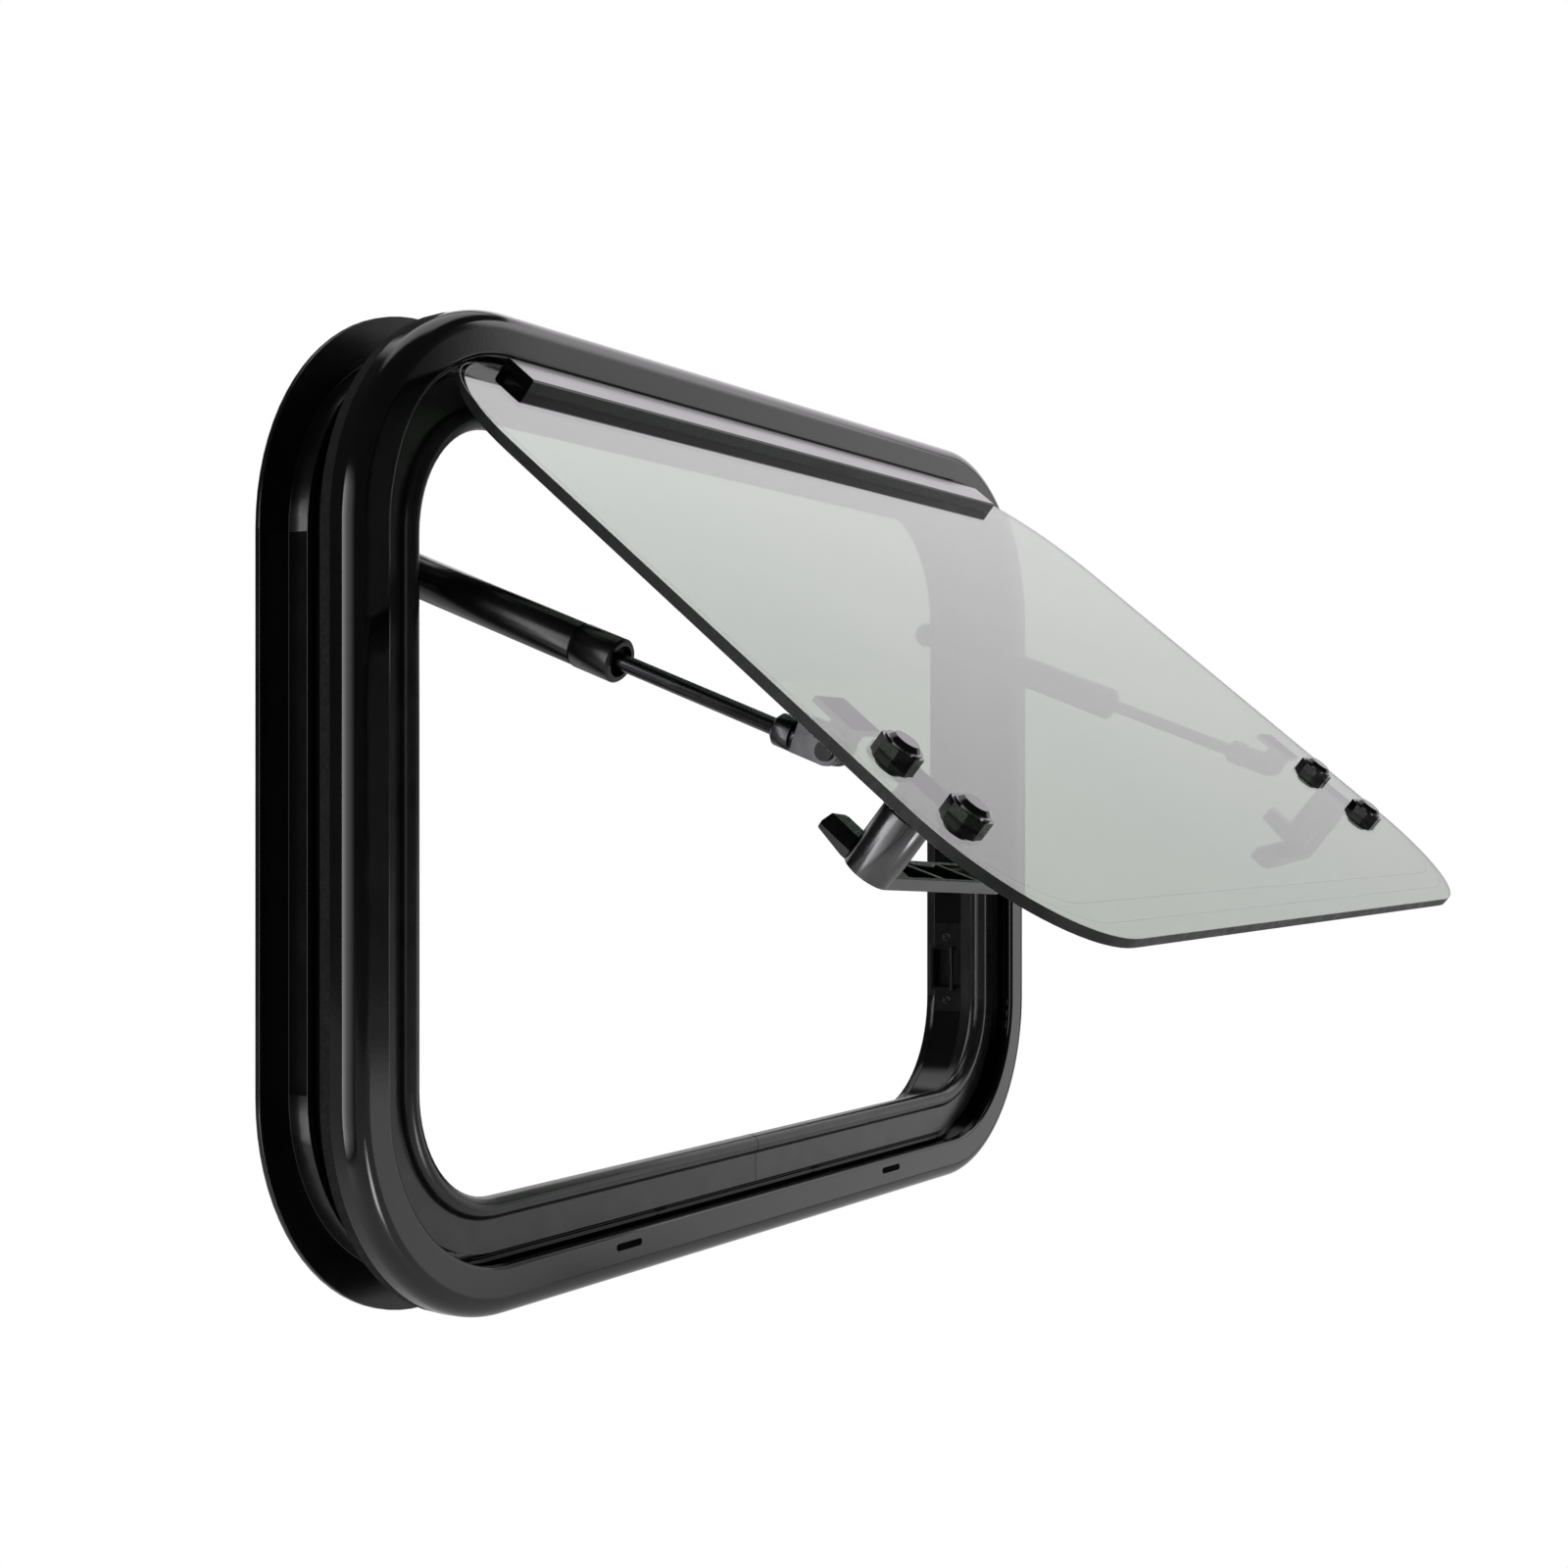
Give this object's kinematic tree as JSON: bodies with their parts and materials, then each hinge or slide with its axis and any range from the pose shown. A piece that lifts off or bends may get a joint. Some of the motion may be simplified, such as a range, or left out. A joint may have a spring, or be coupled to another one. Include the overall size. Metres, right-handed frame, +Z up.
{
  "type": "caravan window",
  "caption": "Top-hung caravan window: tinted pane held open on telescopic stays in a rounded black frame with clamp ring, rubber seal and turn latches",
  "frame": {"origin": "middle of the window on the plane of the wall's outer skin, where the flange's gasket bears", "axes": "+X right seen from outside, +Z up, -Y out of the caravan"},
  "size_m": [0.643, 0.3425, 0.439],
  "materials": {
    "black_gloss_paint": "near-black gloss powder coat on aluminium",
    "black_satin_paint": "near-black satin coat on aluminium",
    "foam": "closed-cell foam, open at the cut edge",
    "grey_rubber": "grey extruded rubber, faint sheen",
    "black_plastic": "black moulded plastic, fine grain",
    "tinted_pane": "dark-tinted cast acrylic, polished",
    "bolt_black": "black glossy moulded washers and caps",
    "dark_steel": "black satin coat on steel",
    "grey_satin_metal": "dark grey satin die casting"
  },
  "bodies": {
    "frame": {"outer_frame": "black_gloss_paint", "wall_gasket": "foam", "clamp_ring": "black_satin_paint", "window_seal": "grey_rubber", "left_keeper": "black_plastic", "right_keeper": "black_plastic", "left_stay_bracket": "black_plastic", "right_stay_bracket": "black_plastic"},
    "sash": {"glass_pane": "tinted_pane", "hinge_rail": "black_gloss_paint", "left_latch_base": "black_plastic", "right_latch_base": "black_plastic", "left_latch_bolts": "bolt_black", "right_latch_bolts": "bolt_black", "left_stay_foot": "black_plastic", "right_stay_foot": "black_plastic"},
    "left_rod": {"left_stay_rod": "dark_steel"},
    "right_rod": {"right_stay_rod": "dark_steel"},
    "left_tube": {"left_stay_tube": "black_satin_paint"},
    "right_tube": {"right_stay_tube": "black_satin_paint"},
    "left_handle": {"left_latch_handle": "grey_satin_metal", "left_latch_tongue": "black_plastic"},
    "right_handle": {"right_latch_handle": "grey_satin_metal", "right_latch_tongue": "black_plastic"}
  },
  "joints": [
    {"name": "sash_hinge", "type": "hinge", "parent": "frame", "child": "sash", "pos_m": [0, -0.006, 0.1894], "axis": [-1, 0, 0], "range_deg": [-50.5, 4.5]},
    {"name": "left_stay_swing", "type": "hinge", "parent": "sash", "child": "left_rod", "pos_m": [-0.255, -0.19869, 0.02382], "axis": [-1, 0, 0], "range_deg": [-12.18, 1.13]},
    {"name": "left_stay_slide", "type": "slide", "parent": "left_rod", "child": "left_tube", "axis": [0, 0.9339, 0.3576], "range_m": [-0.05999, 0.00544]},
    {"name": "left_latch_turn", "type": "hinge", "parent": "sash", "child": "left_handle", "pos_m": [-0.254, -0.2375, 0.00724], "axis": [0, -0.6361, 0.7716], "range_deg": [0, 90]},
    {"name": "right_stay_swing", "type": "hinge", "parent": "sash", "child": "right_rod", "pos_m": [0.255, -0.19869, 0.02382], "axis": [-1, 0, 0], "range_deg": [-12.18, 1.13]},
    {"name": "right_stay_slide", "type": "slide", "parent": "right_rod", "child": "right_tube", "axis": [0, 0.9339, 0.3576], "range_m": [-0.05999, 0.00544]},
    {"name": "right_latch_turn", "type": "hinge", "parent": "sash", "child": "right_handle", "pos_m": [0.254, -0.2375, 0.00724], "axis": [0, 0.6361, -0.7716], "range_deg": [0, 90]}
  ],
  "couplings": [
    {"joint": "left_stay_swing", "follows": "sash_hinge", "ratio": 0.24014},
    {"joint": "left_stay_slide", "follows": "sash_hinge", "m_per_rad": 0.067944},
    {"joint": "right_stay_swing", "follows": "sash_hinge", "ratio": 0.24014},
    {"joint": "right_stay_slide", "follows": "sash_hinge", "m_per_rad": 0.067944}
  ]
}
